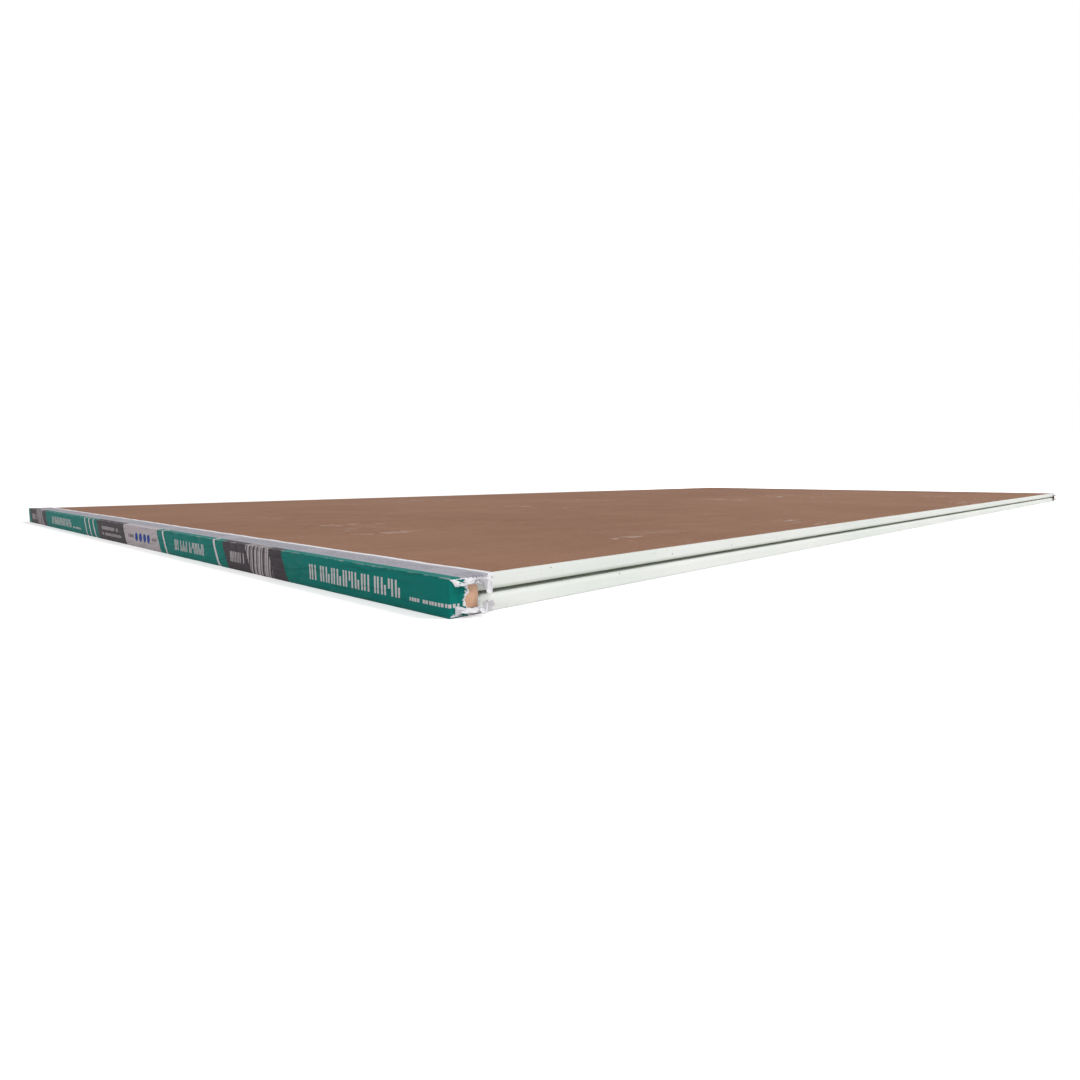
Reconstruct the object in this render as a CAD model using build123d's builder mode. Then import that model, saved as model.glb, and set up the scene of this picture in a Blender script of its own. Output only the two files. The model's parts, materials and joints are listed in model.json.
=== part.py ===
from build123d import *
import os

os.makedirs("parts", exist_ok=True)

# A taped pair of tapered-edge drywall sheets, laid face to face as they are shipped.
# X runs along the sheets, Y across them and Z up, from under the middle of the pair.

# Sheet
sheet_length = 2435.9
sheet_width = 1216.7
sheet_thickness = 12.4
taper_width = 55.0
taper_depth = 1.4
taper_blend_radius = 400.0
face_corner_radius = 3.5
back_corner_radius = 0.5

# Back paper, which stops short of the long edges and leaves the folded face paper bare
back_paper_thickness = 0.3
back_paper_margin = 4.5

# Liner strip under the middle of the tape, with a tab folded onto each long edge
liner_thickness = 0.2
liner_height = 15.0
liner_tab = 21.0

# End tape
tape_thickness = 0.25
tape_flange = 36.0
fold_radius = 0.1

# Torn outlines of the tape on a long edge: distance along it from the sheet's end, and height.
# The wrap comes round the upright corner, and the tongues fold onto the edge off the flanges.
corner_wrap = [
    (-1.0, 1.9), (3.6, 1.1), (8.3, 2.4), (7.2, 4.6), (10.4, 7.1), (8.8, 9.4), (11.7, 12.2),
    (9.9, 14.7), (12.3, 17.9), (9.2, 20.1), (10.8, 22.7), (4.9, 24.3), (-1.0, 23.6),
]
upper_tongue = [
    (14.1, 26.0), (15.0, 21.4), (18.6, 18.9), (21.9, 20.6), (25.2, 18.2), (29.8, 20.3),
    (33.1, 19.2), (37.0, 22.6), (37.0, 26.0),
]
lower_tongue = [
    (12.2, -1.0), (13.4, 3.1), (17.3, 5.2), (20.4, 4.1), (24.7, 6.8), (28.2, 5.1),
    (31.7, 6.2), (37.0, 2.2), (37.0, -1.0),
]
tear_margin = 2.0

# Heights in the pair
back_height = tape_thickness
core_height = back_height + back_paper_thickness
meeting_height = back_height + sheet_thickness
pair_height = 2 * meeting_height

# Reach of the liner and the tape, from the middle of the pair
half_length = sheet_length / 2
half_width = sheet_width / 2
liner_end = half_length + liner_thickness
liner_side = half_width + liner_thickness
tape_end = liner_end + tape_thickness
tape_side = liner_side + tape_thickness
flange_edge = half_length - tape_flange

meeting_plane = Plane.XY.offset(meeting_height)
long_edge_plane = Plane(origin=(-half_length, -half_width, 0), x_dir=(1, 0, 0), z_dir=(0, -1, 0))


# Gypsum core in its face paper: flat back, square ends, both long edges tapered on the face
with BuildPart() as lower_sheet:
    with BuildSketch(Plane.YZ.offset(-half_length)) as sheet_section:
        edge_height = meeting_height - taper_depth
        with BuildLine():
            Polyline(
                (-half_width, core_height),
                (half_width, core_height),
                (half_width, edge_height),
                (half_width - taper_width, meeting_height),
                (-half_width + taper_width, meeting_height),
                (-half_width, edge_height),
                close=True,
            )
        make_face()
        fillet(sheet_section.vertices().group_by(Axis.Y)[-1], radius=taper_blend_radius)
        fillet(sheet_section.vertices().group_by(Axis.Y)[0], radius=back_corner_radius)
        left_side = sheet_section.vertices().group_by(Axis.X)[0]
        right_side = sheet_section.vertices().group_by(Axis.X)[-1]
        face_corners = [left_side.sort_by(Axis.Y)[-1], right_side.sort_by(Axis.Y)[-1]]
        fillet(face_corners, radius=face_corner_radius)
    extrude(amount=sheet_length)

with BuildPart() as upper_sheet:
    mirror(lower_sheet.part, about=meeting_plane)


# Back paper, sawn flush with the ends
with BuildPart() as lower_back_paper:
    with BuildSketch(Plane.XY.offset(back_height)):
        Rectangle(sheet_length, sheet_width - 2 * back_paper_margin)
    extrude(amount=back_paper_thickness)

with BuildPart() as upper_back_paper:
    mirror(lower_back_paper.part, about=meeting_plane)


# Liner strip: one run across both sheet ends, over their joint, and its two tabs
with BuildPart() as tape_liner_near:
    with BuildSketch(Plane.XY.offset(meeting_height - liner_height / 2)) as liner_plan:
        tab_end = -half_length + liner_tab
        with BuildLine():
            Polyline(
                (tab_end, -half_width),
                (tab_end, -liner_side),
                (-liner_end, -liner_side),
                (-liner_end, liner_side),
                (tab_end, liner_side),
                (tab_end, half_width),
                (-half_length, half_width),
                (-half_length, -half_width),
                close=True,
            )
        make_face()
        fillet(liner_plan.vertices().group_by(Axis.X)[0], radius=liner_thickness)
    extrude(amount=liner_height)

with BuildPart() as tape_liner_far:
    add(tape_liner_near.part, rotation=(0, 0, 180))


# What is torn away from the tape's side wall on one long edge
with BuildPart() as torn_away:
    with BuildSketch(long_edge_plane):
        with Locations((tape_flange / 2, meeting_height)):
            Rectangle(tape_flange + 2 * tear_margin, pair_height + 2 * tear_margin)
        for outline in (corner_wrap, upper_tongue, lower_tongue):
            with BuildLine():
                Polyline(*outline, close=True)
            make_face(mode=Mode.SUBTRACT)
    extrude(amount=tear_margin)

# End tape: a thin folded cap over the end, its side walls torn down to their outlines
with BuildPart() as end_tape_near:
    with BuildSketch(Plane.XY):
        with Locations((-(tape_end + flange_edge) / 2, 0)):
            Rectangle(tape_end - flange_edge, 2 * tape_side)
    extrude(amount=pair_height)
    open_side = end_tape_near.faces().sort_by(Axis.X)[-1]
    folds = end_tape_near.edges() - open_side.edges()
    fillet(folds, radius=fold_radius + tape_thickness)
    open_side = end_tape_near.faces().sort_by(Axis.X)[-1]
    offset(amount=-tape_thickness, openings=open_side)
    add(torn_away.part, mode=Mode.SUBTRACT)
    mirror(torn_away.part, about=Plane.XZ, mode=Mode.SUBTRACT)

with BuildPart() as end_tape_far:
    add(end_tape_near.part, rotation=(0, 0, 180))


lower_sheet.part.label = "lower_sheet"
upper_sheet.part.label = "upper_sheet"
lower_back_paper.part.label = "lower_back_paper"
upper_back_paper.part.label = "upper_back_paper"
tape_liner_near.part.label = "tape_liner_near"
tape_liner_far.part.label = "tape_liner_far"
end_tape_near.part.label = "end_tape_near"
end_tape_far.part.label = "end_tape_far"

export_step(lower_sheet.part, "parts/lower_sheet.step")
export_step(upper_sheet.part, "parts/upper_sheet.step")
export_step(lower_back_paper.part, "parts/lower_back_paper.step")
export_step(upper_back_paper.part, "parts/upper_back_paper.step")
export_step(tape_liner_near.part, "parts/tape_liner_near.step")
export_step(tape_liner_far.part, "parts/tape_liner_far.step")
export_step(end_tape_near.part, "parts/end_tape_near.step")
export_step(end_tape_far.part, "parts/end_tape_far.step")
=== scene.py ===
import bpy
import json
import math
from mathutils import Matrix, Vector, noise

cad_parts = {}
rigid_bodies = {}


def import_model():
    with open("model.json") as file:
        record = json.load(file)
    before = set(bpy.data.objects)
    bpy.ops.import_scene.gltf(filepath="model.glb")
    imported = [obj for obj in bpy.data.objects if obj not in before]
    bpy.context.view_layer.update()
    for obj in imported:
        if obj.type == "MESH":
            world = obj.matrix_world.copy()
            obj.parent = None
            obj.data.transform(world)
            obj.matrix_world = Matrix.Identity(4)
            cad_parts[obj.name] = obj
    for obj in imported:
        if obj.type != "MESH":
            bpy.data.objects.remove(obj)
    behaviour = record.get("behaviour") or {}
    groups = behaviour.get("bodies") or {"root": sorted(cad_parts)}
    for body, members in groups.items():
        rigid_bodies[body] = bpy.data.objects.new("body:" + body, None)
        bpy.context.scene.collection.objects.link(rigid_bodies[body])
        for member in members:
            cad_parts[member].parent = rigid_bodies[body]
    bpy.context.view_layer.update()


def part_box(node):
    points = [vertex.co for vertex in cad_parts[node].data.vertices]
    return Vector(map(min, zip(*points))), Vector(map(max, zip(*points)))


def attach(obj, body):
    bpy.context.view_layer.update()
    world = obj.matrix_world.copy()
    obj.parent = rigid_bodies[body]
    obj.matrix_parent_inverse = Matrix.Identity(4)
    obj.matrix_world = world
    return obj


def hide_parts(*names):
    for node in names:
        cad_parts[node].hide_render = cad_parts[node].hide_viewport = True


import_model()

mm = 0.001

# places taken from the frame: the near end is at -X, the corner by the camera at -X -Y
sheetLow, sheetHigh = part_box("lower_sheet")
upperLow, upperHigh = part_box("upper_sheet")
paperLow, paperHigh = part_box("lower_back_paper")
topPaperLow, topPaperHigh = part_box("upper_back_paper")
tapeLow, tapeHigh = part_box("end_tape_near")
linerLow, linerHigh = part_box("tape_liner_near")

meetingHeight = sheetHigh.z
tapeThickness = paperLow.z
linerThickness = sheetLow.x - linerLow.x
linerHalfHeight = (linerHigh.z - linerLow.z) / 2
tapeInnerEnd = -tapeLow.x - tapeThickness
tapeInnerSide = tapeHigh.y - tapeThickness

# how near a vertex has to be: to a face's plane, to a row of a strip, and past a crease
onPlane = 1e-5
onRow = 1e-9
pastCrease = 1e-7


# helpers

def deselectAll():
    for other in bpy.context.view_layer.objects:
        other.select_set(False)


def namePiece(name):
    piece = bpy.context.object
    piece.name = name
    piece.data.name = name
    return piece


# selects vertices, edges or faces in code, and leaves the piece in edit mode
def pick(piece, kind, test):
    bpy.ops.object.mode_set(mode="OBJECT")
    mesh = piece.data
    for own, parts in (("VERT", mesh.vertices), ("EDGE", mesh.edges), ("FACE", mesh.polygons)):
        parts.foreach_set("select", [own == kind and test(part) for part in parts])
    bpy.ops.object.mode_set(mode="EDIT")
    bpy.ops.mesh.select_mode(type=kind)


def thicken(piece, thickness):
    thick = piece.modifiers.new("thickness", "SOLIDIFY")
    thick.thickness = thickness
    thick.offset = 1.0
    return thick


def finishPiece(piece, smoothAngle):
    bpy.ops.object.mode_set(mode="OBJECT")
    deselectAll()
    piece.select_set(True)
    bpy.context.view_layer.objects.active = piece
    bpy.ops.object.transform_apply(location=True, rotation=True, scale=True)
    for modifier in list(piece.modifiers):
        bpy.ops.object.modifier_apply(modifier=modifier.name)
    bpy.ops.object.shade_smooth_by_angle(angle=math.radians(smoothAngle))


# the piece stands for its node
def ride(piece, node):
    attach(piece, "root")
    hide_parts(node)


def signOf(value):
    return math.copysign(1.0, value)


def drift(*place):
    return noise.noise(Vector(place))


# camera, at the photograph's heading, low and close to the near corner

cameraView = {
    "heading": Vector((0.625, 0.780, 0.0)),
    "distance": 0.42,
    "height": 0.09,
    "pan": 7.6,
    "pitch": -5.6,
    "lens": 22.9,
    "sensor": 36.0,
    "clip": (0.01, 100.0),
}


def makeCamera():
    corner = Vector((tapeLow.x, tapeLow.y, 0.0))
    heading = cameraView["heading"].normalized()
    place = corner - heading * cameraView["distance"]
    place.z = cameraView["height"]
    data = bpy.data.cameras.new("camera")
    data.lens = cameraView["lens"]
    data.sensor_width = cameraView["sensor"]
    data.clip_start, data.clip_end = cameraView["clip"]
    camera = bpy.data.objects.new("camera", data)
    bpy.context.scene.collection.objects.link(camera)
    camera.location = place
    azimuth = math.atan2(heading.y, heading.x) - math.radians(cameraView["pan"])
    pitch = math.radians(cameraView["pitch"])
    level = math.cos(pitch)
    aim = Vector((math.cos(azimuth) * level, math.sin(azimuth) * level, math.sin(pitch)))
    camera.rotation_euler = aim.to_track_quat("-Z", "Y").to_euler()
    bpy.context.scene.camera = camera


makeCamera()
print("camera made")


# shader graph: Wire wraps a socket, so masks are written as sums and products

class Wire:
    def __init__(self, graph, socket):
        self.graph = graph
        self.socket = socket

    def __add__(self, other):
        return self.graph.math("ADD", self, other)

    def __radd__(self, other):
        return self.graph.math("ADD", other, self)

    def __sub__(self, other):
        return self.graph.math("SUBTRACT", self, other)

    def __rsub__(self, other):
        return self.graph.math("SUBTRACT", other, self)

    def __mul__(self, other):
        return self.graph.math("MULTIPLY", self, other)

    def __rmul__(self, other):
        return self.graph.math("MULTIPLY", other, self)

    def __truediv__(self, other):
        return self.graph.math("DIVIDE", self, other)

    def __rtruediv__(self, other):
        return self.graph.math("DIVIDE", other, self)

    def __mod__(self, other):
        return self.graph.math("FLOORED_MODULO", self, other)

    def __rmod__(self, other):
        return self.graph.math("FLOORED_MODULO", other, self)

    def __gt__(self, other):
        return self.graph.math("GREATER_THAN", self, other)

    def __lt__(self, other):
        return self.graph.math("LESS_THAN", self, other)

    def __abs__(self):
        return self.graph.math("ABSOLUTE", self)

    def floor(self):
        return self.graph.math("FLOOR", self)

    def root(self):
        return self.graph.math("SQRT", self)

    def clamp(self):
        return self.graph.math("ADD", self, 0.0, clamped=True)

    def within(self, low, high):
        return (self > low) * (self < high)


class Graph:
    def __init__(self, owner, output):
        owner.use_nodes = True
        self.owner = owner
        self.tree = owner.node_tree
        self.tree.nodes.clear()
        self.surface = self.tree.nodes.new(output).inputs["Surface"]

    def put(self, socket, value):
        if isinstance(value, Wire):
            self.tree.links.new(value.socket, socket)
        else:
            socket.default_value = value

    # any node: its type, its settings, then the values or links of its sockets, by name or as i and a number
    def node(self, kind, settings=None, out=0, **inputs):
        made = self.tree.nodes.new(kind)
        for key, value in (settings or {}).items():
            setattr(made, key, value)
        for key, value in inputs.items():
            numbered = key[0] == "i" and key[1:].isdigit()
            self.put(made.inputs[int(key[1:]) if numbered else key.replace("_", " ")], value)
        return Wire(self, made.outputs[out])

    def math(self, operation, first, second=0.0, clamped=False):
        settings = {"operation": operation, "use_clamp": clamped}
        return self.node("ShaderNodeMath", settings, i0=first, i1=second)

    def mix(self, factor, first, second):
        return self.node("ShaderNodeMix", {"data_type": "RGBA"}, out=2, i0=factor, i6=first, i7=second)

    def place(self, source="Object"):
        return self.node("ShaderNodeTexCoord", out=source)

    def axis(self, vector, name):
        return self.node("ShaderNodeSeparateXYZ", out=name, Vector=vector)

    def mapped(self, vector, scale, turn=0.0, shift=0.0):
        return self.node("ShaderNodeMapping", Vector=vector, Scale=scale,
                         Rotation=(0.0, 0.0, turn), Location=(shift, shift, 0.0))

    # noise, stretched where its scale has three parts
    def cloud(self, vector, scale, detail=4.0, roughness=0.5, distortion=0.0):
        if isinstance(scale, tuple):
            vector = self.mapped(vector, scale)
            scale = 1.0
        return self.node("ShaderNodeTexNoise", Vector=vector, Scale=scale, Detail=detail,
                         Roughness=roughness, Distortion=distortion)

    # one random number for each whole step of a value
    def luck(self, value):
        return self.node("ShaderNodeTexWhiteNoise", {"noise_dimensions": "1D"}, W=value.floor())

    def ramp(self, value, low, high):
        return self.node("ShaderNodeMapRange", {"interpolation_type": "SMOOTHSTEP"},
                         Value=value, i1=low, i2=high, i3=0.0, i4=1.0)

    def noises(self, vector, forms):
        return {name: self.cloud(vector, *form) for name, form in forms.items()}

    # lays colours over one another, each where its noise runs from one value to another
    def layers(self, colour, noises, look, name="layers"):
        for noiseName, start, full, weight, tone in look[name]:
            colour = self.mix(self.ramp(noises[noiseName], start, full) * weight, colour, look[tone])
        return colour

    # thin lines where a noise passes its middle
    def lines(self, noise, width):
        return 1.0 - self.ramp(abs(noise - 0.5), *width)

    def bump(self, height, strength, distance):
        return self.node("ShaderNodeBump", Height=height, Strength=strength, Distance=distance)

    # 1 where the camera looks, also by a reflection or through glass
    def seen(self):
        kinds = ("Is Camera Ray", "Is Glossy Ray", "Is Transmission Ray")
        return sum(self.node("ShaderNodeLightPath", out=kind) for kind in kinds).clamp()

    def paint(self, **inputs):
        self.put(self.surface, self.node("ShaderNodeBsdfPrincipled", **inputs))
        return self.owner


def materialGraph(name):
    return Graph(bpy.data.materials.new(name), "ShaderNodeOutputMaterial")


def srgb(red, green, blue):
    def linear(value):
        value = value / 255
        return value / 12.92 if value <= 0.04045 else ((value + 0.055) / 1.055) ** 2.4
    return (linear(red), linear(green), linear(blue), 1.0)


# face paper: very pale green, smooth, with faint lengthwise fibres, specks and handling marks, and painted
# shade under the upper lip of the groove between the sheets

facePaper = {
    "paper": srgb(236, 238, 235),
    "cool": srgb(228, 233, 228),
    "soil": srgb(208, 210, 200),
    "scuff": srgb(206, 184, 174),
    # dust: the olive grey of the painted shade under the upper lip of the groove
    "dust": srgb(172, 180, 156),
    "speck": srgb(112, 104, 96),
    # noises: scale, detail, roughness and distortion
    "noises": {
        "mottle": (5.0, 3.0),
        "fibre": ((60.0, 900.0, 900.0), 3.0, 0.6),
        "soil": ((4.0, 40.0, 140.0), 4.0, 0.65, 0.4),
        "scuff": ((18.0, 90.0, 260.0), 4.0, 0.7, 0.6),
        "speck": (240.0, 2.0),
    },
    # layers: noise, where it sets in, where it is full, weight and colour
    "layers": (
        ("mottle", 0.35, 0.70, 1.00, "cool"),
        ("fibre", 0.45, 0.80, 0.25, "cool"),
        ("soil", 0.58, 0.72, 0.35, "soil"),
        ("scuff", 0.66, 0.74, 0.50, "scuff"),
    ),
    "topLayers": (("speck", 0.71, 0.75, 0.80, "speck"),),
    # how far the painted shade under the groove's upper lip reaches, and how strong it is
    "dustReach": (1.0 * mm, 5.0 * mm),
    "dustWeight": 0.6,
    "roughness": (0.62, 0.1),  # the least, and what the fibres add
    "gloss": 0.3,
    "mottleRelief": 0.5,
    "relief": (0.25, 0.2 * mm),
}


def makeFacePaper():
    look = facePaper
    g = materialGraph("facePaper")
    spot = g.place()
    noises = g.noises(spot, look["noises"])
    colour = g.layers(look["paper"], noises, look)
    # painted shade: the upper lip of the groove between the sheets is darkened towards olive grey, on the
    # upper sheet only, as shade under its overhang
    away = g.axis(spot, "Z") - meetingHeight
    paintedLipShade = (away > 0.0) * (1.0 - g.ramp(away, *look["dustReach"]))
    colour = g.mix(paintedLipShade * look["dustWeight"], colour, look["dust"])
    colour = g.layers(colour, noises, look, "topLayers")
    least, added = look["roughness"]
    height = noises["fibre"] + noises["mottle"] * look["mottleRelief"]
    return g.paint(Base_Color=colour, Roughness=least + noises["fibre"] * added,
                   Specular_IOR_Level=look["gloss"], Normal=g.bump(height, *look["relief"]))


# back paper: brown recycled kraft, finely flecked, with clusters of pale scratches

backPaper = {
    "dark": srgb(140, 102, 82),
    "brown": srgb(152, 114, 93),
    "light": srgb(163, 127, 104),
    "fleck": srgb(184, 160, 140),
    "bark": srgb(104, 76, 60),
    "scratch": srgb(214, 203, 193),
    "dust": srgb(202, 190, 178),
    "noises": {
        "broad": (1.7, 4.0, 0.55),
        "mottle": ((14.0, 22.0, 22.0), 5.0, 0.65),
        "pulp": ((110.0, 220.0, 220.0), 4.0, 0.65),
        "fleck": ((300.0, 900.0, 900.0), 3.0, 0.7),
        "cluster": (4.5, 2.0),
        "gap": (38.0, 2.0),
        "dust": ((3.0, 5.0, 5.0), 6.0, 0.7),
    },
    # the bark shows where the fleck noise is low
    "layers": (
        ("broad", 0.30, 0.70, 1.00, "brown"),
        ("mottle", 0.35, 0.75, 0.40, "light"),
        ("pulp", 0.50, 0.75, 0.40, "light"),
        ("fleck", 0.58, 0.72, 0.50, "fleck"),
        ("fleck", 0.40, 0.28, 0.45, "bark"),
    ),
    "topLayers": (("dust", 0.56, 0.80, 0.20, "dust"),),
    "scratchScale": (5.0, 55.0, 20.0),
    "scratchNoise": (1.0, 1.0, 0.4),
    "scratchRuns": ((0.35, 0.0), (-0.15, 4.0), (0.9, 9.0)),  # how far each is turned and shifted
    "scratchWidth": (0.004, 0.02),
    "scratchClusters": (0.60, 0.66),
    "scratchGaps": (0.50, 0.60),
    "scratchWeight": 0.7,
    "roughness": (0.8, 0.1),  # the least, and what the pulp adds
    "gloss": 0.1,
    "fleckRelief": 0.5,
    "relief": (0.3, 0.3 * mm),
}


def makeBackPaper():
    look = backPaper
    g = materialGraph("backPaper")
    spot = g.place()
    noises = g.noises(spot, look["noises"])
    colour = g.layers(look["dark"], noises, look)
    # fine pale scratches lie in small clusters and cross at a low angle
    cluster = g.ramp(noises["cluster"], *look["scratchClusters"])
    unbroken = g.ramp(noises["gap"], *look["scratchGaps"])
    for turn, shift in look["scratchRuns"]:
        turned = g.mapped(spot, look["scratchScale"], turn, shift)
        line = g.lines(g.cloud(turned, *look["scratchNoise"]), look["scratchWidth"])
        colour = g.mix(line * cluster * unbroken * look["scratchWeight"], colour, look["scratch"])
    colour = g.layers(colour, noises, look, "topLayers")
    least, added = look["roughness"]
    height = noises["fleck"] * look["fleckRelief"] + noises["pulp"]
    return g.paint(Base_Color=colour, Roughness=least + noises["pulp"] * added,
                   Specular_IOR_Level=look["gloss"], Normal=g.bump(height, *look["relief"]))


# printed tape: panels, slashes, bars, strokes and blocks, laid out on the flat tape in metres

tapePrint = {
    "white": srgb(236, 234, 238),
    "teal": srgb(1, 116, 108),
    "lightGrey": srgb(190, 180, 183),
    "darkGrey": srgb(70, 64, 68),
    "pale": srgb(222, 209, 212),
    "blue": srgb(30, 66, 146),
    "period": 0.86,
    "slant": 0.55,
    "panels": (
        (0.31, 0.43, "darkGrey"),
        (0.43, 0.555, "lightGrey"),
        (0.74, 0.86, "darkGrey"),
    ),
    "slashes": (0.246, 0.268, 0.290, 0.572, 0.716),
    "slashWidth": 0.0045,
    "bars": (0.79, 0.836),
    "barScale": 260.0,
    "barEdge": (0.47, 0.53),
    # marks by ink and weight, in rows: kind, start, end, low, high and pitch
    "marks": (
        ("pale", 0.88, (
            ("strokes", 0.041, 0.166, -0.0058, 0.0062, 0.0083),
            ("strokes", 0.606, 0.688, -0.0056, 0.0056, 0.0083),
            ("blocks", 0.174, 0.226, -0.0058, -0.0034, 0.0030),
        )),
        ("lightGrey", 0.80, (
            ("blocks", 0.330, 0.405, 0.0012, 0.0056, 0.0052),
            ("blocks", 0.330, 0.416, -0.0062, -0.0026, 0.0044),
            ("blocks", 0.752, 0.782, -0.0050, 0.0046, 0.0034),
        )),
        ("darkGrey", 0.85, (
            ("blocks", 0.443, 0.466, -0.0018, 0.0020, 0.0038),
            ("blocks", 0.532, 0.548, -0.0018, 0.0020, 0.0038),
        )),
    ),
    "strokePlaces": ((0.14, 0.40), (0.58, 0.84)),
    "strokeCut": 0.42,
    "strokeLuck": (0.35, 0.60, 0.85),  # cut at the foot below the first, at the head above the second
    "blockGap": (0.16, 0.35),
    "blocksKept": 0.88,
    "rounds": (0.470, 0.528),
    "roundPitch": 0.0145,
    "roundRadius": 0.0052,
    # the flanges: the print runs round the fold, then a grey band of fine blocks and a white margin
    "flange": {
        "ground": srgb(170, 168, 177),
        "ink": srgb(112, 110, 120),
        "inkWeight": 0.7,
        "start": 0.008,
        "band": (0.0115, 0.0270),
        "pitch": 0.0026,
        "rowsPerMetre": 420.0,
        "rowShare": 0.5,
        "blockGap": (0.1, 0.3),
        "blocksKept": 0.8,
        "run": 0.172,
        "runGap": 0.030,
        "margin": 0.031,
    },
    "noises": {
        "fray": (320.0, 5.0, 0.75),
        "rub": ((120.0, 60.0, 120.0), 4.0, 0.7),
        "soil": (14.0, 4.0, 0.6),
    },
    "fray": 7.5 * mm,
    "frayLeast": 0.30,
    # whitening along the folds: partly rubbed wear, partly a painted highlight
    "rubReach": (0.2 * mm, 1.0 * mm),
    "rubEdge": (0.44, 0.66),
    "rubWeight": 0.35,
    "topLayers": (("soil", 0.5, 0.8, 0.12, "darkGrey"),),
    "swellNoise": ((26.0, 60.0, 1.0), 3.0, 0.5),
    "creaseScale": (14.0, 70.0, 1.0),
    "creaseNoise": (1.0, 1.0, 0.4),
    "creaseRuns": ((0.45, 0.0), (-0.6, 5.0)),  # how far each is turned and shifted
    "creaseWidth": (0.0, 0.05),
    "creaseReach": (-1.0 * mm, 0.5 * mm),
    "creaseWeight": 0.4,
    "patchNoise": (0.5, 1.0),
    "patchEdge": (0.42, 0.56),
    "roughness": (0.6, 0.12),  # the least, and what the rubbing adds
    "gloss": 0.12,
    "relief": (0.9, 2.4 * mm),
}


# blocks of unlike widths, one to a cell and some left out
def unevenBlocks(share, luck, gap, kept):
    least, added = gap
    return (share > luck * added + least) * (luck < kept)


# tall strokes, two to a cell and some cut short
def unevenStrokes(share, luck, level):
    cut = tapePrint["strokeCut"]
    cutAtFoot, cutAtHead, kept = tapePrint["strokeLuck"]
    first, second = [share.within(*place) for place in tapePrint["strokePlaces"]]
    first = first * (level > (luck < cutAtFoot) * cut)
    second = second * (level < 1.0 - (luck > cutAtHead) * cut)
    return first + second * (luck < kept)


# the print on the end: slanted panels, slashes and bars, then rows of marks
def printEnd(g, along, across):
    look = tapePrint
    slid = (along + across * look["slant"]) % look["period"]
    straight = along % look["period"]

    def markRow(kind, start, end, low, high, pitch):
        cell = straight / pitch
        luck = g.luck(cell)
        if kind == "strokes":
            marks = unevenStrokes(cell % 1.0, luck, (across - low) / (high - low))
        else:
            marks = unevenBlocks(cell % 1.0, luck, look["blockGap"], look["blocksKept"])
        return straight.within(start, end) * across.within(low, high) * marks

    colour = look["teal"]
    for start, end, ink in look["panels"]:
        colour = g.mix(slid.within(start, end), colour, look[ink])
    for start in look["slashes"]:
        colour = g.mix(slid.within(start, start + look["slashWidth"]), colour, look["pale"])
    bars = g.node("ShaderNodeTexNoise", {"noise_dimensions": "1D"},
                  W=along, Scale=look["barScale"], Detail=1.0)
    bars = slid.within(*look["bars"]) * g.ramp(bars, *look["barEdge"])
    colour = g.mix(bars, colour, look["lightGrey"])
    for ink, weight, rows in look["marks"]:
        colour = g.mix(sum(markRow(*row) for row in rows) * weight, colour, look[ink])
    # a row of round blue marks between the dark blocks
    start, end = look["rounds"]
    offCentre = (straight - start) % look["roundPitch"] - look["roundPitch"] / 2
    mark = (offCentre * offCentre + across * across).root() < look["roundRadius"]
    return g.mix(straight.within(start, end) * mark, colour, look["blue"])


def printFlanges(g, colour, along, far):
    look = tapePrint["flange"]
    colour = g.mix(far > look["start"], colour, look["ground"])
    cell = along / look["pitch"]
    row = far * look["rowsPerMetre"]
    spot = g.node("ShaderNodeCombineXYZ", X=cell.floor(), Y=row.floor())
    luck = g.node("ShaderNodeTexWhiteNoise", {"noise_dimensions": "2D"}, Vector=spot)
    fine = unevenBlocks(cell % 1.0, luck, look["blockGap"], look["blocksKept"])
    fine = fine * ((row % 1.0) > look["rowShare"]) * ((along % look["run"]) > look["runGap"])
    colour = g.mix(far.within(*look["band"]) * fine * look["inkWeight"], colour, look["ink"])
    return g.mix(far > look["margin"], colour, tapePrint["white"])


# soft swells, and slanting creases that run in patches across the end
def wrinkleTape(g, flat, far):
    look = tapePrint
    wrinkles = g.cloud(flat, *look["swellNoise"])
    onEnd = 1.0 - g.ramp(far, *look["creaseReach"])
    for turn, shift in look["creaseRuns"]:
        turned = g.mapped(flat, look["creaseScale"], turn, shift)
        line = g.lines(g.cloud(turned, *look["creaseNoise"]), look["creaseWidth"])
        patch = g.ramp(g.cloud(turned, *look["patchNoise"]), *look["patchEdge"])
        wrinkles = wrinkles - line * patch * onEnd * look["creaseWeight"]
    return g.bump(wrinkles, *look["relief"])


def makeTapePrint():
    look = tapePrint
    g = materialGraph("tapePrint")
    flat = g.place("UV")
    along = g.axis(flat, "X")
    across = g.axis(flat, "Y")
    far = abs(across) - meetingHeight
    colour = printFlanges(g, printEnd(g, along, across), along, far)
    noises = g.noises(g.place(), look["noises"])
    # the printed skin tears back from the end and shows the white ply
    torn = g.node("ShaderNodeAttribute", {"attribute_name": "torn"}, out="Fac")
    bare = torn < (noises["fray"] - look["frayLeast"]) * look["fray"]
    colour = g.mix(bare, colour, look["white"])
    # the folds are whitened, partly as rubbed wear and partly as a painted highlight along the folds, and
    # the whole is a little soiled
    edge = 1.0 - g.ramp(abs(far), *look["rubReach"])
    rub = edge * g.ramp(noises["rub"], *look["rubEdge"])
    colour = g.mix(rub * look["rubWeight"], colour, look["white"])
    colour = g.layers(colour, noises, look, "topLayers")
    least, added = look["roughness"]
    return g.paint(Base_Color=colour, Roughness=least + noises["rub"] * added,
                   Specular_IOR_Level=look["gloss"], Normal=wrinkleTape(g, flat, far))


# white inner side and torn rim of the tape, with grey patches of painted shade laid at random

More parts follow.
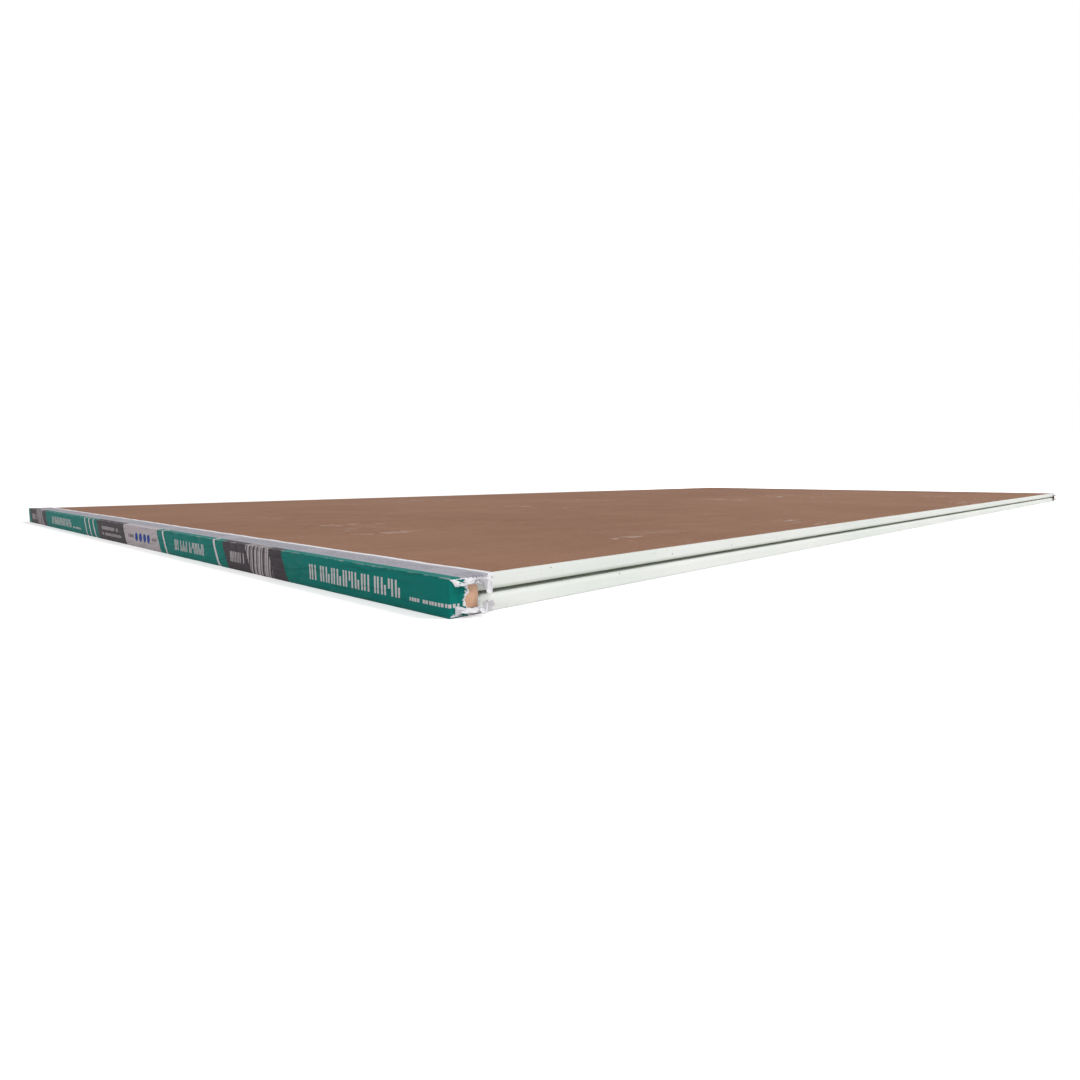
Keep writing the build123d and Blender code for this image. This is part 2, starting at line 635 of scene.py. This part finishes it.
tornPaper = {
    "white": srgb(238, 238, 242),
    "grey": srgb(208, 208, 215),
    "noises": {
        "fuzz": (500.0, 4.0, 0.7),
        "fold": (90.0, 3.0),
    },
    # painted shade: grey patches where the fold noise is high, not tied to the real creases
    "layers": (("fold", 0.4, 0.75, 0.6, "grey"),),
    "roughness": 0.85,
    "gloss": 0.2,
    "relief": (0.5, 0.4 * mm),
}


def makeTornPaper():
    look = tornPaper
    g = materialGraph("tornPaper")
    noises = g.noises(g.place(), look["noises"])
    return g.paint(Base_Color=g.layers(look["white"], noises, look),
                   Roughness=look["roughness"], Specular_IOR_Level=look["gloss"],
                   Normal=g.bump(noises["fuzz"] + noises["fold"], *look["relief"]))


# kraft liner: peach brown, smooth

kraftLiner = {
    "kraft": srgb(228, 184, 154),
    "dark": srgb(208, 162, 132),
    "noises": {
        "fibre": ((300.0, 300.0, 900.0), 3.0, 0.6),
        "blotch": (60.0, 3.0),
    },
    "layers": (
        ("blotch", 0.4, 0.7, 0.6, "dark"),
        ("fibre", 0.5, 0.8, 0.3, "dark"),
    ),
    "roughness": 0.6,
    "gloss": 0.3,
    "relief": (0.3, 0.2 * mm),
}


def makeKraft():
    look = kraftLiner
    g = materialGraph("kraftLiner")
    noises = g.noises(g.place(), look["noises"])
    return g.paint(Base_Color=g.layers(look["kraft"], noises, look),
                   Roughness=look["roughness"], Specular_IOR_Level=look["gloss"],
                   Normal=g.bump(noises["fibre"], *look["relief"]))


facePaperMaterial = makeFacePaper()
backPaperMaterial = makeBackPaper()
tapePrintMaterial = makeTapePrint()
tornPaperMaterial = makeTornPaper()
kraftMaterial = makeKraft()
print("materials made")


# sheets: the tapered board is cut down from a box, and its long edges are rounded

sheetForm = {
    "taperWidth": 55 * mm,
    "taperDepth": 1.4 * mm,
    "faceRadius": 3.5 * mm,
    "backRadius": 0.5 * mm,
    "roundSteps": 6,
    "stations": 96,
    "crowding": 0.05,  # how much closer together the stations lie at the ends
    "wave": 0.25 * mm,
    "waveZone": 20 * mm,
    "waveScale": 6.0,
    "sideSeed": 9.0,
    "smoothAngle": 30,
}


def cutAcross(place, direction):
    bpy.ops.mesh.select_all(action="SELECT")
    bpy.ops.mesh.bisect(plane_co=place, plane_no=direction)


def makeSheet(name, node, low, high, faceUp, seed):
    deselectAll()
    size = high - low
    bpy.ops.mesh.primitive_cube_add(size=1.0, location=(low + high) / 2, scale=size)
    piece = namePiece(name)
    bpy.ops.object.transform_apply(location=True, rotation=True, scale=True)
    faceHeight, backHeight, inward = (high.z, low.z, -1.0) if faceUp else (low.z, high.z, 1.0)
    bpy.ops.object.mode_set(mode="EDIT")
    for side in (-1.0, 1.0):
        line = side * (high.y - sheetForm["taperWidth"])
        cutAcross((0.0, line, 0.0), (0.0, 1.0, 0.0))

    def onLongEdge(place, height):
        return abs(abs(place.y) - high.y) < onPlane and abs(place.z - height) < onPlane

    pick(piece, "VERT", lambda v: onLongEdge(v.co, faceHeight))
    bpy.ops.transform.translate(value=(0.0, 0.0, inward * sheetForm["taperDepth"]))
    edgeHeight = faceHeight + inward * sheetForm["taperDepth"]
    for height, radius in ((edgeHeight, sheetForm["faceRadius"]), (backHeight, sheetForm["backRadius"])):
        pick(piece, "EDGE", lambda e: all(onLongEdge(piece.data.vertices[k].co, height) for k in e.vertices))
        bpy.ops.mesh.bevel(offset=radius, segments=sheetForm["roundSteps"], affect="EDGES")
    count = sheetForm["stations"]
    for step in range(1, count):
        share = step / count
        place = low.x + size.x * (share - sheetForm["crowding"] * math.sin(2 * math.pi * share))
        cutAcross((place, 0.0, 0.0), (1.0, 0.0, 0.0))
    bpy.ops.object.mode_set(mode="OBJECT")
    # the long edges aren't quite straight
    zone = sheetForm["waveZone"]
    for v in piece.data.vertices:
        near = max(0.0, (abs(v.co.y) - high.y + zone) / zone)
        side = signOf(v.co.y)
        sway = drift(v.co.x * sheetForm["waveScale"], side * sheetForm["sideSeed"], seed)
        v.co.y -= side * near * sheetForm["wave"] * (0.5 + 0.5 * sway)
    piece.data.materials.append(facePaperMaterial)
    finishPiece(piece, sheetForm["smoothAngle"])
    ride(piece, node)


makeSheet("lowerSheetBoard", "lower_sheet", sheetLow, sheetHigh, True, 3.0)
makeSheet("upperSheetBoard", "upper_sheet", upperLow, upperHigh, False, 8.0)
print("sheets made")


# back papers: thin leaves with a slightly wandering edge

backLeaf = {
    "columns": 300,
    "rows": 60,
    "wander": 0.6 * mm,
    "wanderScale": 9.0,
    "sideSeed": 5.0,
    "smoothAngle": 30,
}


def makeBackPaperLeaf(name, node, low, high, seed):
    deselectAll()
    middle = (low + high) / 2
    size = high - low
    facesDown = low.z < meetingHeight
    inner = high.z if facesDown else low.z
    bpy.ops.mesh.primitive_grid_add(x_subdivisions=backLeaf["columns"], y_subdivisions=backLeaf["rows"],
                                    size=1.0, location=(middle.x, middle.y, inner))
    piece = namePiece(name)
    bpy.ops.transform.resize(value=(size.x, size.y, 1.0))
    bpy.ops.object.transform_apply(location=True, rotation=True, scale=True)
    for v in piece.data.vertices:
        if abs(abs(v.co.y) - size.y / 2) < onPlane:
            side = signOf(v.co.y)
            sway = drift(v.co.x * backLeaf["wanderScale"], side * backLeaf["sideSeed"], seed)
            v.co.y -= side * backLeaf["wander"] * (1.0 + sway)
    if facesDown:
        bpy.ops.object.mode_set(mode="EDIT")
        bpy.ops.mesh.select_all(action="SELECT")
        bpy.ops.mesh.flip_normals()
        bpy.ops.object.mode_set(mode="OBJECT")
    thicken(piece, size.z)
    piece.data.materials.append(backPaperMaterial)
    finishPiece(piece, backLeaf["smoothAngle"])
    ride(piece, node)


makeBackPaperLeaf("lowerBackPaperLeaf", "lower_back_paper", paperLow, paperHigh, 2.0)
makeBackPaperLeaf("upperBackPaperLeaf", "upper_back_paper", topPaperLow, topPaperHigh, 6.0)
print("back papers made")


# paper strips are set out flat against the sheet end and folded over it in small crease steps

paperFold = {"step": 0.09 * mm, "steps": 3}
creases = [paperFold["step"] * k for k in range(paperFold["steps"])]
creaseEnd = creases[-1]
foldReach = creaseEnd + paperFold["step"]
foldRise = sum(paperFold["step"] * math.cos(math.radians(90.0 * k / paperFold["steps"]))
               for k in range(1, paperFold["steps"]))


def spread(first, last, count):
    return [first + (last - first) * k / count for k in range(count)]


# the same lines on both sides of the middle
def mirrored(inside, outside):
    return [-value for value in reversed(outside)] + inside + outside


def nearest(values, wanted):
    return min(range(len(values)), key=lambda k: abs(values[k] - wanted))


# a strip's grid: columns stand along it and rows across it, and places keeps where each vertex lay flat
class Strip:
    def __init__(self, name, columns, rows):
        deselectAll()
        bpy.ops.mesh.primitive_grid_add(x_subdivisions=len(columns) - 1, y_subdivisions=len(rows) - 1,
                                        size=1.0)
        self.piece = namePiece(name)
        self.columns = columns
        self.rows = rows
        self.places = [(along, across) for across in rows for along in columns]

    # turns what is chosen and lies past each line by a share of the angle, as paper turns over an edge
    def fold(self, chosen, lines, axis, angle, byRow=False, side=1.0, level=0.0):
        way = 1 if byRow else 0
        for line in lines:
            hingeAlong, hingeAcross = (level, side * line) if byRow else (side * line, level)
            hinge = nearest(self.rows, hingeAcross) * len(self.columns) + nearest(self.columns, hingeAlong)
            pick(self.piece, "VERT", lambda v: (
                chosen[v.index] and self.places[v.index][way] * side > line + pastCrease))
            bpy.ops.object.mode_set(mode="OBJECT")
            pivot = self.piece.data.vertices[hinge].co.copy()
            bpy.ops.object.mode_set(mode="EDIT")
            bpy.ops.transform.rotate(value=-math.radians(angle) / len(lines), orient_axis=axis,
                                     orient_type="GLOBAL", center_override=pivot)
        bpy.ops.object.mode_set(mode="OBJECT")

    # lets a group of vertices off the flat with a soft texture
    def soften(self, name, group, kind, size, strength, middle):
        texture = bpy.data.textures.new(self.piece.name + name, kind)
        texture.noise_scale = size
        modifier = self.piece.modifiers.new(name, "DISPLACE")
        modifier.texture = texture
        modifier.texture_coords = "LOCAL"
        modifier.vertex_group = group
        modifier.strength = strength
        modifier.mid_level = middle

    # turns the strip round to the far end
    def turnRound(self):
        bpy.ops.object.mode_set(mode="EDIT")
        bpy.ops.mesh.select_all(action="SELECT")
        bpy.ops.transform.rotate(value=math.pi, orient_axis="Z", orient_type="GLOBAL",
                                 center_override=(0.0, 0.0, 0.0))
        bpy.ops.object.mode_set(mode="OBJECT")


# liner: a kraft strip under the tape, its two tabs folded onto the long edges

linerForm = {
    "rows": 10,
    "tabColumns": 18,
    "middleColumns": 160,
    "tab": linerHigh.x - linerLow.x,
    "endWander": 0.8 * mm,
    "endScale": (200.0, 9.0),
    "edgeWander": 0.3 * mm,
    "edgeScale": (30.0, 500.0),
    "curls": {-1.0: 3.0, 1.0: 10.0},
    "curlFrom": 0.55,
    "ripple": ("CLOUDS", 8 * mm, 0.5 * mm, 0.2),
    "smoothAngle": 40,
}


def makeLiner(name, node, seed, turned):
    edge = linerHigh.y - linerThickness - foldRise
    tabEnd = edge + creaseEnd + linerForm["tab"]
    tab = [edge + c for c in creases] + spread(edge + foldReach, tabEnd, linerForm["tabColumns"]) + [tabEnd]
    columns = mirrored(spread(-edge, edge, linerForm["middleColumns"])[1:], tab)
    rows = spread(-linerHalfHeight, linerHalfHeight, linerForm["rows"]) + [linerHalfHeight]
    strip = Strip(name, columns, rows)
    piece = strip.piece
    tabs = piece.vertex_groups.new(name="tabs")
    endAcross, endAlong = linerForm["endScale"]
    edgeAlong, edgeAcross = linerForm["edgeScale"]
    for v in piece.data.vertices:
        along, across = strip.places[v.index]
        onCutEdge = across in (rows[0], rows[-1])
        free = max(0.0, (abs(along) - edge) / linerForm["tab"])
        tabs.add([v.index], free ** 2, "REPLACE")
        uneven = drift(across * endAcross, along * endAlong, seed)
        along += math.copysign(free, along) * linerForm["endWander"] * uneven
        if onCutEdge:
            across += linerForm["edgeWander"] * drift(along * edgeAlong, across * edgeAcross, seed)
        v.co = (sheetLow.x, -along, meetingHeight + across)
    for side in (-1.0, 1.0):
        onTab = [along * side > edge - onRow for along, across in strip.places]
        strip.fold(onTab, [edge + c for c in creases], "Z", 90.0 * side, side=side)
        # the tab's free end stands off a little
        curlLine = columns[nearest(columns, side * (edge + linerForm["curlFrom"] * linerForm["tab"]))] * side
        strip.fold(onTab, [curlLine], "Z", -linerForm["curls"][side] * side, side=side)
    piece.data.materials.append(kraftMaterial)
    strip.soften("ripple", "tabs", *linerForm["ripple"])
    thicken(piece, linerThickness)
    if turned:
        strip.turnRound()
    finishPiece(piece, linerForm["smoothAngle"])
    ride(piece, node)


makeLiner("linerNear", "tape_liner_near", 2.4, False)
makeLiner("linerFar", "tape_liner_far", 7.9, True)
print("liners made")


# end tape: a printed strip folded over the end. Past the corner it is torn into a wrap, which comes
# round off the end, and two tongues off the flanges, each with two lobes

tapeForm = {
    "flange": tapeHigh.x - sheetLow.x,
    "flangeRows": 24,
    "panelRows": 24,
    "cornerColumns": 14,
    "cornerReach": 30 * mm,
    "middleColumns": 240,
    "overhangColumns": 22,
    "layerGap": 0.5 * mm,
    "smoothAngle": 40,
    # the end's swell, held down at its folds and sunk beside the liner
    "panel": {
        "pillow": 1.0 * mm,
        "shoulder": 8,
        "fadeIn": 12 * mm,
        "foldWave": 0.3,
        "foldFade": 6.0,
        "sag": 0.15 * mm,
        "linerClear": 1.0 * mm,
    },
    "wrap": {
        "length": 12.5 * mm,
        "tear": 6.5 * mm,
        "notch": 2.4 * mm,
        "notchFull": 0.4,
        "curl": 34.0,
        "curlVary": (0.6, 0.4),
        "curlLines": (0.55, 0.8),
    },
    # skins: how much of the print is left on each tongue, left low, left high, right low, right high
    # lobes: middle, half width and length
    "tongue": {
        "stub": 2.2 * mm,
        "stubRise": 4 * mm,
        "tear": 2.2 * mm,
        "tearLeast": -0.4,
        "fold": 70.0,
        "skins": (0.2, 0.02, 0.03, 0.16),
        "lobes": ((12 * mm, 9 * mm, 9.5 * mm), (28 * mm, 7.5 * mm, 9.0 * mm)),
        "lobeShift": 3 * mm,
        "lobeVary": 0.35,
        "curls": (35.0, 12.0, 80.0, 25.0, 72.0, 26.0, 62.0, 20.0),
        "curlLines": (0.4, 0.55, 0.7),
        "curlMargin": 1 * mm,
    },
    # raggedness: scale along the tear and weight, slow and fast
    "tear": {
        "slow": (160.0, 0.7),
        "fast": (900.0, 0.45),
        "sideSeed": 3.0,
        "levelSeed": 1.3,
        "looseLength": 6 * mm,
    },
    # soft textures: name, group, kind, size, strength and middle level
    "crumple": (
        ("swell", "panel", "CLOUDS", 28 * mm, 1.1 * mm, 0.4),
        ("cockle", "flange", "CLOUDS", 30 * mm, 0.8 * mm, 0.3),
        ("curl", "tongues", "CLOUDS", 11 * mm, 5.5 * mm, 0.2),
        ("crumple", "tongues", "VORONOI", 6 * mm, 3.0 * mm, 0.2),
        ("crinkle", "tongues", "STUCCI", 3 * mm, 0.9 * mm, 0.5),
        ("wrapCurl", "wraps", "CLOUDS", 9 * mm, 3.0 * mm, 0.1),
        ("wrapCrumple", "wraps", "VORONOI", 5 * mm, 1.6 * mm, 0.1),
    ),
}

# on the flat strip: the edge is where a flange starts, the corner where the strip leaves the end
tapeEdge = meetingHeight - tapeThickness - foldRise
tapeCorner = tapeInnerSide - foldRise
flangeStart = tapeEdge + creaseEnd
overStart = tapeCorner + foldReach
edgeCreases = [tapeEdge + c for c in creases]
cornerCreases = [tapeCorner + c for c in creases]


# rows run up the strip and over both flanges, closer together near the folds, where the end is rounded
def tapeRows():
    flangeEnd = flangeStart + tapeForm["flange"]
    flange = spread(tapeEdge + foldReach, flangeEnd, tapeForm["flangeRows"]) + [flangeEnd]
    angles = spread(-math.pi / 2, math.pi / 2, tapeForm["panelRows"])[1:]
    return mirrored([tapeEdge * math.sin(angle) for angle in angles], edgeCreases + flange)


# columns run along the strip, and past the corners by a share of what is left there
def tapeColumns():
    reach = tapeCorner - tapeForm["cornerReach"]
    count = tapeForm["overhangColumns"]
    beyond = [overStart + k / count for k in range(count + 1)]
    outside = spread(reach, tapeCorner, tapeForm["cornerColumns"]) + cornerCreases + beyond
    return mirrored(spread(-reach, reach, tapeForm["middleColumns"])[1:], outside)


def ragged(value, seed):
    slowScale, slowWeight = tapeForm["tear"]["slow"]
    fastScale, fastWeight = tapeForm["tear"]["fast"]
    slow = drift(value * slowScale, seed, 0.0)
    fast = drift(value * fastScale, seed, 4.0)
    return slowWeight * slow + fastWeight * fast


# how far a tongue reaches at a distance from the fold: two lobes, torn away between them
def tongueReach(distance, seed):
    form = tapeForm["tongue"]
    reach = form["stub"] * min(1.0, distance / form["stubRise"])
    for k, (middle, width, length) in enumerate(form["lobes"]):
        shift = form["lobeShift"] * math.sin(seed * 2.7 + k)
        share = max(0.0, 1.0 - ((distance - middle - shift) / width) ** 2)
        reach += length * share ** 0.5 * (1.0 + form["lobeVary"] * math.sin(seed * 1.9 + 2.1 * k))
    return reach


# a place past the corner: where it comes to, how far it is from the tear, its group and how loose it is
def tearEnd(along, across, seed):
    wrap, tongue, tear = tapeForm["wrap"], tapeForm["tongue"], tapeForm["tear"]
    side = signOf(along)
    share = abs(along) - overStart
    ownSeed = seed + side * tear["sideSeed"]
    uneven = ragged(across, ownSeed)
    onWrap = abs(across) <= tapeEdge
    if onWrap:
        gap, skin = 0.0, 1.0
        length = wrap["length"] + wrap["tear"] * uneven
        narrowing = wrap["notch"] * (abs(across) / tapeEdge) ** 3
        across -= math.copysign(min(share, wrap["notchFull"]), across) * narrowing
    else:
        gap = tapeForm["layerGap"]
        skin = tongue["skins"][(side > 0) * 2 + (across > 0)]
        length = tongueReach(abs(across) - tapeEdge, ownSeed + math.copysign(tear["levelSeed"], across))
        length += tongue["tear"] * max(tongue["tearLeast"], uneven)
    looseness = max(0.0, share) * min(1.0, length / tear["looseLength"])
    along = side * (overStart + share * length) + side * gap
    return along, across, (1.0 - share) * length * skin, "wraps" if onWrap else "tongues", looseness


# sets the strip out flat against the end, its ends torn to length row by row
def setOutTape(strip, seed, printShift):
    mesh = strip.piece.data
    panel = tapeForm["panel"]
    wave = panel["foldWave"]
    kinds = ("wraps", "tongues", "panel", "flange")
    groups = {kind: strip.piece.vertex_groups.new(name=kind) for kind in kinds}
    flatPlaces = []
    torn = []
    for v in mesh.vertices:
        along, across = strip.places[v.index]
        out = 0.0
        tornAt = 1.0
        if abs(along) - overStart > -onRow:
            along, across, tornAt, kind, looseness = tearEnd(along, across, seed)
            groups[kind].add([v.index], looseness, "REPLACE")
        elif abs(across) < tapeEdge:
            inward = min(1.0, max(0.0, (tapeCorner - abs(along)) / panel["fadeIn"]))
            swell = (1.0 - (abs(across) / tapeEdge) ** panel["shoulder"]) * inward
            out = panel["pillow"] * swell
            if abs(across) > linerHalfHeight + panel["linerClear"]:
                out -= panel["sag"] * inward
            groups["panel"].add([v.index], wave + (1.0 - wave) * swell, "REPLACE")
        else:
            free = max(0.0, (abs(across) - tapeEdge) / tapeForm["flange"])
            groups["panel"].add([v.index], wave * max(0.0, 1.0 - panel["foldFade"] * free), "REPLACE")
            if across > 0.0:
                groups["flange"].add([v.index], min(1.0, free) ** 2, "REPLACE")
        flatPlaces.append((along + printShift, across))
        torn.append(tornAt)
        v.co = (-tapeInnerEnd - out, -along, meetingHeight + across)
    layer = mesh.uv_layers.active
    layer.name = "flat"
    for loop in mesh.loops:
        layer.data[loop.index].uv = flatPlaces[loop.vertex_index]
    mesh.attributes.new("torn", "FLOAT", "POINT").data.foreach_set("value", torn)


# the wraps are folded round the upright corners, and their torn ends stand off
def foldWraps(strip, seed):
    form = tapeForm["wrap"]
    least, vary = form["curlVary"]
    for side in (-1.0, 1.0):
        wrap = [abs(t) <= tapeEdge + onRow and s * side > tapeCorner - onRow for s, t in strip.places]
        strip.fold(wrap, cornerCreases, "Z", 90.0 * side, side=side)
        angle = -form["curl"] * side * (least + vary * math.sin(seed + side))
        strip.fold(wrap, [overStart + share for share in form["curlLines"]], "Z", angle, side=side)


# the flanges are folded onto both backs
def foldFlanges(strip):
    for side in (-1.0, 1.0):
        flange = [t * side >= tapeEdge - onRow for s, t in strip.places]
        strip.fold(flange, edgeCreases, "Y", 90.0 * side, byRow=True, side=side)


# the tongues are folded onto the long edges, less tightly, and their lobes curl
def foldTongues(strip):
    form = tapeForm["tongue"]
    curls = iter(form["curls"])
    lines = [overStart + share for share in form["curlLines"]]
    for side in (-1.0, 1.0):
        for level in (-1.0, 1.0):
            # how far out each place is on this side, and how far up past this flange's fold
            tongue = [(s * side, t * level - flangeStart) for s, t in strip.places]
            chosen = [out > tapeCorner - onRow and up > onRow for out, up in tongue]
            strip.fold(chosen, cornerCreases, "X", form["fold"] * side * level, side=side,
                       level=level * (flangeStart + tapeForm["flange"] / 2))
            for middle, width, length in form["lobes"]:
                reach = width + form["curlMargin"]
                lobe = [out > tapeCorner and abs(up - middle) < reach for out, up in tongue]
                strip.fold(lobe, lines, "X", -next(curls) * side * level, side=side,
                           level=level * (flangeStart + middle))


# the creases between the wraps and the tongues are slit open
def slitCorners(strip):
    def inSlit(polygon):
        own = [strip.places[k] for k in polygon.vertices]
        beyond = all(abs(s) >= tapeCorner - onRow for s, t in own)
        return beyond and all(tapeEdge - onRow <= abs(t) <= tapeEdge + foldReach + onRow for s, t in own)

    pick(strip.piece, "FACE", inSlit)
    bpy.ops.mesh.delete(type="FACE")
    bpy.ops.object.mode_set(mode="OBJECT")


def makeTape(name, node, seed, turned, printShift):
    strip = Strip(name, tapeColumns(), tapeRows())
    piece = strip.piece
    setOutTape(strip, seed, printShift)
    foldWraps(strip, seed)
    foldFlanges(strip)
    foldTongues(strip)
    slitCorners(strip)
    piece.data.materials.append(tapePrintMaterial)
    piece.data.materials.append(tornPaperMaterial)
    for texture in tapeForm["crumple"]:
        strip.soften(*texture)
    thick = thicken(piece, tapeThickness)
    thick.material_offset = 1
    thick.material_offset_rim = 1
    if turned:
        strip.turnRound()
    finishPiece(piece, tapeForm["smoothAngle"])
    # nothing reaches under the floor that the pair lies on
    for v in piece.data.vertices:
        v.co.z = max(v.co.z, tapeLow.z)
    ride(piece, node)


makeTape("endTapeNear", "end_tape_near", 1.7, False, 4.7665)
makeTape("endTapeFar", "end_tape_far", 5.3, True, 5.35)
print("end tapes made")


# floor, lamps and backdrop

studio = {
    "floorSize": 60.0,
    "floor": srgb(244, 244, 244),
    "floorRoughness": 0.9,
    "floorLift": 0.4,
    "whiteReach": (1.5, 2.6),
    "black": (0.0, 0.0, 0.0, 1.0),
    "white": (1.0, 1.0, 1.0, 1.0),
    "worldStrength": 0.5,
    "lamps": {
        "keyLamp": {
            "place": (2.3, -5.3, 6.6),
            "target": (-0.3, -0.3, 0.0),
            "size": 2.0,
            "power": 310.0,
            "tint": (1.0, 0.98, 0.95),
        },
        "fillLamp": {
            "place": (-2.3, -2.6, 2.2),
            "target": (-0.9, 0.0, 0.0),
            "size": 1.0,
            "power": 16.0,
            "tint": (0.95, 0.97, 1.0),
        },
    },
}


def makeFloor():
    deselectAll()
    bpy.ops.mesh.primitive_plane_add(size=studio["floorSize"], location=(0.0, 0.0, 0.0))
    floor = namePiece("floor")
    g = materialGraph("floorPaint")
    # where it is looked at, the floor is white apart from its shadows, and fades into the background
    distance = g.node("ShaderNodeVectorMath", {"operation": "LENGTH"}, out=1, i0=g.place())
    lift = (g.ramp(distance, *studio["whiteReach"]) + studio["floorLift"]).clamp() * g.seen()
    glow = g.mix(lift, studio["black"], studio["white"])
    floor.data.materials.append(g.paint(
        Base_Color=studio["floor"], Roughness=studio["floorRoughness"], Specular_IOR_Level=0.0,
        Emission_Color=glow, Emission_Strength=1.0))


def makeWorld():
    g = Graph(bpy.data.worlds.new("studio"), "ShaderNodeOutputWorld")
    light = g.node("ShaderNodeBackground", Color=studio["white"], Strength=studio["worldStrength"])
    shown = g.node("ShaderNodeBackground", Color=studio["white"], Strength=1.0)
    g.put(g.surface, g.node("ShaderNodeMixShader", i0=g.seen(), i1=light, i2=shown))
    bpy.context.scene.world = g.owner


def makeLamp(name, place, target, size, power, tint):
    data = bpy.data.lights.new(name, "AREA")
    data.shape = "DISK"
    data.size = size
    data.energy = power
    data.color = tint
    lamp = bpy.data.objects.new(name, data)
    bpy.context.scene.collection.objects.link(lamp)
    lamp.location = place
    lamp.rotation_euler = (Vector(target) - Vector(place)).to_track_quat("-Z", "Y").to_euler()


makeFloor()
makeWorld()
for lampName, lampForm in studio["lamps"].items():
    makeLamp(lampName, **lampForm)

bpy.context.scene.view_settings.view_transform = "Standard"
print("studio made")
